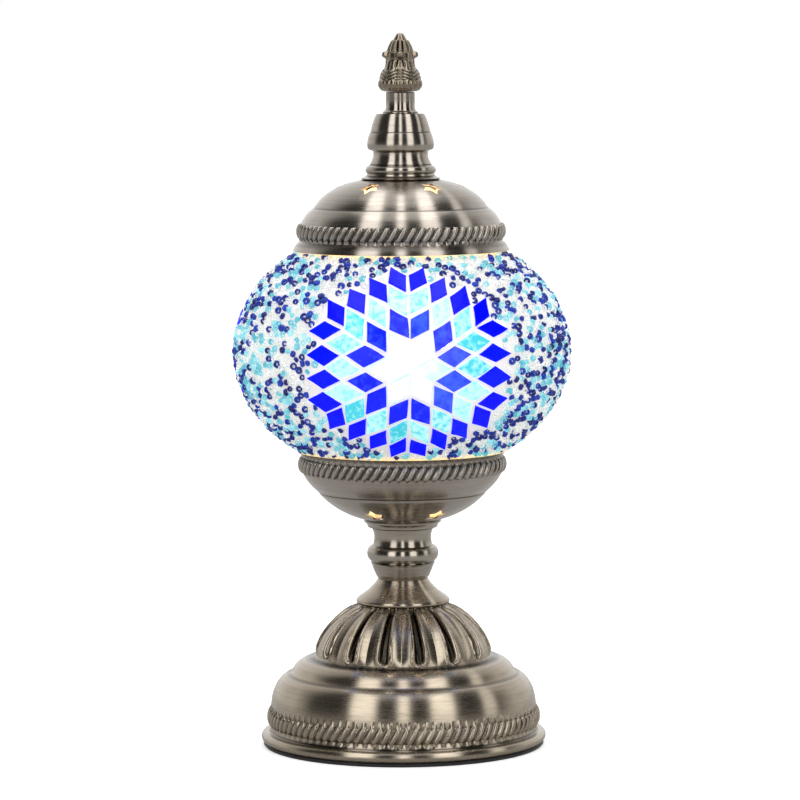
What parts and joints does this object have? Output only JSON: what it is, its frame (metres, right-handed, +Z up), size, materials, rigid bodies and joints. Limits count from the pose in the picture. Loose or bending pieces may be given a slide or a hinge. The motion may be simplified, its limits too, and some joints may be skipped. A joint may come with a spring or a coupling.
{
  "type": "table lamp",
  "caption": "Table lamp with a glass mosaic globe between a pierced cup and cap, on a fluted metal base, held by a finial on an inner harp.",
  "frame": {"origin": "on the table under the lamp's axis, at the centre of the foot ring's lower face", "axes": "+Z up along the lamp's axis; the front medallion faces -Y; +X is to the right seen from the front; the cable inlet faces +Y"},
  "size_m": [0.1592, 0.1596, 0.3342],
  "materials": {
    "antique_bronze": "brushed, antique bronze plated",
    "aged_bronze": "cast, darkened in the hollows",
    "black_rubber": "matt",
    "cast_iron": "as cast, painted",
    "cardboard": "pressed board",
    "felt": "felt",
    "zinc_plate": "zinc plated",
    "brass": "bright",
    "gasket": "translucent silicone",
    "black_plastic": "moulded",
    "holder_ceramic": "steatite",
    "clear_glass": "blown",
    "grout": "white cement grout",
    "clear_tile": "cut sheet glass",
    "blue_tile": "cut cobalt glass",
    "cyan_tile": "cut hammered glass",
    "bead_glass": "seed beads",
    "tin_plate": "rolled thread",
    "bulb_glass": "clear",
    "black_glass": "insulating glass",
    "filament": "tungsten"
  },
  "bodies": {
    "stand": {"base_shell": "antique_bronze", "foot_ring": "black_rubber", "ballast_disc": "cast_iron", "bottom_card": "cardboard", "felt_pad": "felt", "cable_bush": "black_rubber", "threaded_tube": "zinc_plate", "base_washer": "zinc_plate", "base_nut": "zinc_plate", "earth_screw": "brass", "earth_washer": "brass", "neck_spool": "antique_bronze", "cup": "antique_bronze", "cup_washer": "zinc_plate", "cup_nut": "zinc_plate", "lower_gasket": "gasket", "harp": "zinc_plate", "harp_nuts": "zinc_plate", "stud": "zinc_plate", "holder_base": "black_plastic", "holder_core": "holder_ceramic", "holder_shell": "black_plastic", "screw_shell": "brass", "centre_contact": "brass", "terminal_screws": "brass"},
    "globe": {"globe_glass": "clear_glass", "grout_bed": "grout", "star_tiles": "clear_tile", "inner_blue_tiles": "blue_tile", "cyan_tiles": "cyan_tile", "outer_blue_tiles": "blue_tile", "bead_layer": "bead_glass"},
    "cap": {"top_cap": "antique_bronze", "cap_washer": "zinc_plate", "upper_gasket": "gasket", "spindle": "antique_bronze"},
    "sleeve": {"finial_sleeve": "antique_bronze"},
    "finial": {"finial": "aged_bronze"},
    "bulb_tip": {"bulb_contact": "tin_plate"},
    "bulb": {"bulb_glass": "bulb_glass", "bulb_cap": "tin_plate", "bulb_insulator": "black_glass", "bulb_stem": "bulb_glass", "bulb_filament": "filament"}
  },
  "joints": [
    {"name": "globe_lift", "type": "slide", "parent": "stand", "child": "globe", "axis": [0, 0, 1], "range_m": [0, 0.19]},
    {"name": "cap_lift", "type": "slide", "parent": "globe", "child": "cap", "axis": [0, 0, 1], "range_m": [0, 0.09]},
    {"name": "finial_turn", "type": "hinge", "parent": "cap", "child": "sleeve", "pos_m": [0, 0, 0.3], "axis": [0, 0, 1], "range_deg": [0, 3600]},
    {"name": "finial_rise", "type": "slide", "parent": "sleeve", "child": "finial", "axis": [0, 0, 1], "range_m": [0, 0.0101]},
    {"name": "bulb_rise", "type": "slide", "parent": "stand", "child": "bulb_tip", "axis": [0, 0, 1], "range_m": [0, 0.0086]},
    {"name": "bulb_turn", "type": "hinge", "parent": "bulb_tip", "child": "bulb", "pos_m": [0, 0, 0.188], "axis": [0, 0, 1], "range_deg": [0, 1080]}
  ],
  "couplings": [
    {"joint": "finial_rise", "follows": "finial_turn", "m_per_rad": 0.00015915},
    {"joint": "bulb_rise", "follows": "bulb_turn", "m_per_rad": 0.00044882}
  ]
}
